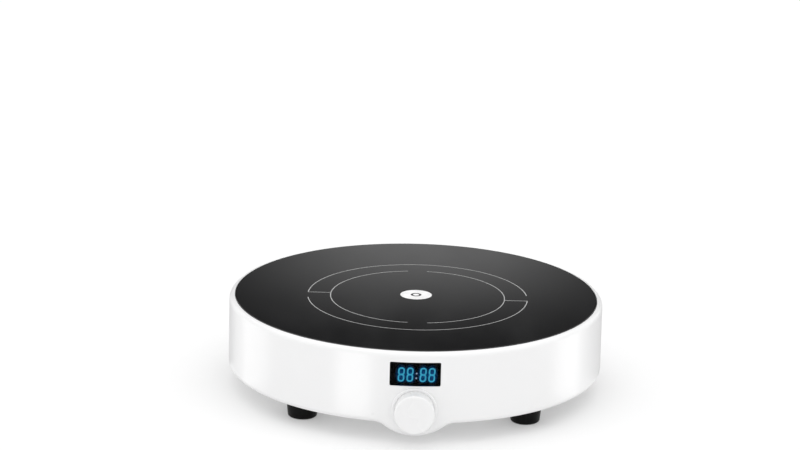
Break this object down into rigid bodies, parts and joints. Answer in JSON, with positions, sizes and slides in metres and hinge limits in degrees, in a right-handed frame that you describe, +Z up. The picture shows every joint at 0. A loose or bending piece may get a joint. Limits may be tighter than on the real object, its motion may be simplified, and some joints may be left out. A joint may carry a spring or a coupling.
{
  "type": "electric induction cooktop",
  "caption": "Round portable induction cooktop with a flat glass plate, a lit display, a turn-and-press knob and rubber feet.",
  "frame": {"origin": "on the counter, under the middle of the whole object, at the bottom of its box", "axes": "+Z up, the knob and display face -Y, +X to the right as seen from the front"},
  "size_m": [0.289, 0.3056, 0.072],
  "materials": {
    "white_plastic": "gloss",
    "white_knob": "gloss",
    "black_glass": "polished",
    "smoked_lens": "gloss",
    "black_rubber": "satin",
    "grey_silicone": "matte",
    "zinc_steel": "zinc plated",
    "copper_wire": "enamelled",
    "bronze": "sintered",
    "board_green": "solder mask",
    "black_plastic": "moulded",
    "ivory_plastic": "moulded",
    "amber_plastic": "moulded",
    "blue_plastic": "coated",
    "dark_blue_sleeve": "sleeve",
    "lit_segment": "lit",
    "aluminium": "extruded",
    "ferrite": "pressed",
    "iron_core": "coated",
    "mica_sheet": "matte",
    "red_wire": "insulated",
    "white_wire": "insulated",
    "grey_ribbon": "insulated",
    "laminated_steel": "laminated",
    "brass": "plain"
  },
  "bodies": {
    "base": {"upper_housing": "white_plastic", "base_pan": "white_plastic", "glass_plate": "black_glass", "glass_seal": "grey_silicone", "display_window": "smoked_lens", "cord_gland": "black_rubber", "foot_front_left": "black_rubber", "foot_front_right": "black_rubber", "foot_rear_left": "black_rubber", "foot_rear_right": "black_rubber", "foot_screws": "zinc_steel", "housing_screws": "zinc_steel", "encoder_body": "zinc_steel", "encoder_bushing": "brass", "encoder_washer": "zinc_steel", "encoder_nut": "zinc_steel", "encoder_dome": "zinc_steel", "control_board": "board_green", "control_chips": "black_plastic", "control_screws": "zinc_steel", "led_display": "black_plastic", "led_segments": "lit_segment", "buzzer": "black_plastic", "ribbon_cable": "grey_ribbon", "main_board": "board_green", "board_screws": "zinc_steel", "heatsink": "aluminium", "heatsink_screws": "zinc_steel", "igbt": "black_plastic", "bridge_rectifier": "black_plastic", "film_capacitors": "amber_plastic", "choke_core": "iron_core", "choke_winding": "copper_wire", "fuse": "ivory_plastic", "varistor": "blue_plastic", "electrolytic_capacitors": "dark_blue_sleeve", "transformer": "amber_plastic", "current_transformer": "blue_plastic", "coil_terminals": "brass", "board_connectors": "ivory_plastic", "fan_frame": "black_plastic", "fan_bearing": "bronze", "fan_stator": "laminated_steel", "fan_screws": "zinc_steel", "fan_cable": "red_wire", "coil_former": "ivory_plastic", "coil_winding": "copper_wire", "ferrite_bars": "ferrite", "insulation_sheet": "mica_sheet", "coil_screws": "zinc_steel", "thermistor": "ferrite", "thermistor_holder": "grey_silicone", "thermistor_leads": "white_wire"},
    "knob": {"knob": "white_knob", "knob_clip": "zinc_steel", "encoder_shaft": "zinc_steel"},
    "encoder_rotor": {"encoder_rotor": "amber_plastic"},
    "fan": {"fan_rotor": "black_plastic"}
  },
  "joints": [
    {"name": "knob_turn", "type": "hinge", "parent": "base", "child": "encoder_rotor", "pos_m": [0, -0.14375, 0.0276], "axis": [0, 1, 0], "continuous": true},
    {"name": "knob_press", "type": "slide", "parent": "encoder_rotor", "child": "knob", "axis": [0, 1, 0], "range_m": [0, 0.0015], "stiffness_N_per_m": 2000},
    {"name": "fan_spin", "type": "hinge", "parent": "base", "child": "fan", "pos_m": [-0.06695, 0.04222, 0.03], "axis": [0, 0, 1], "continuous": true}
  ]
}
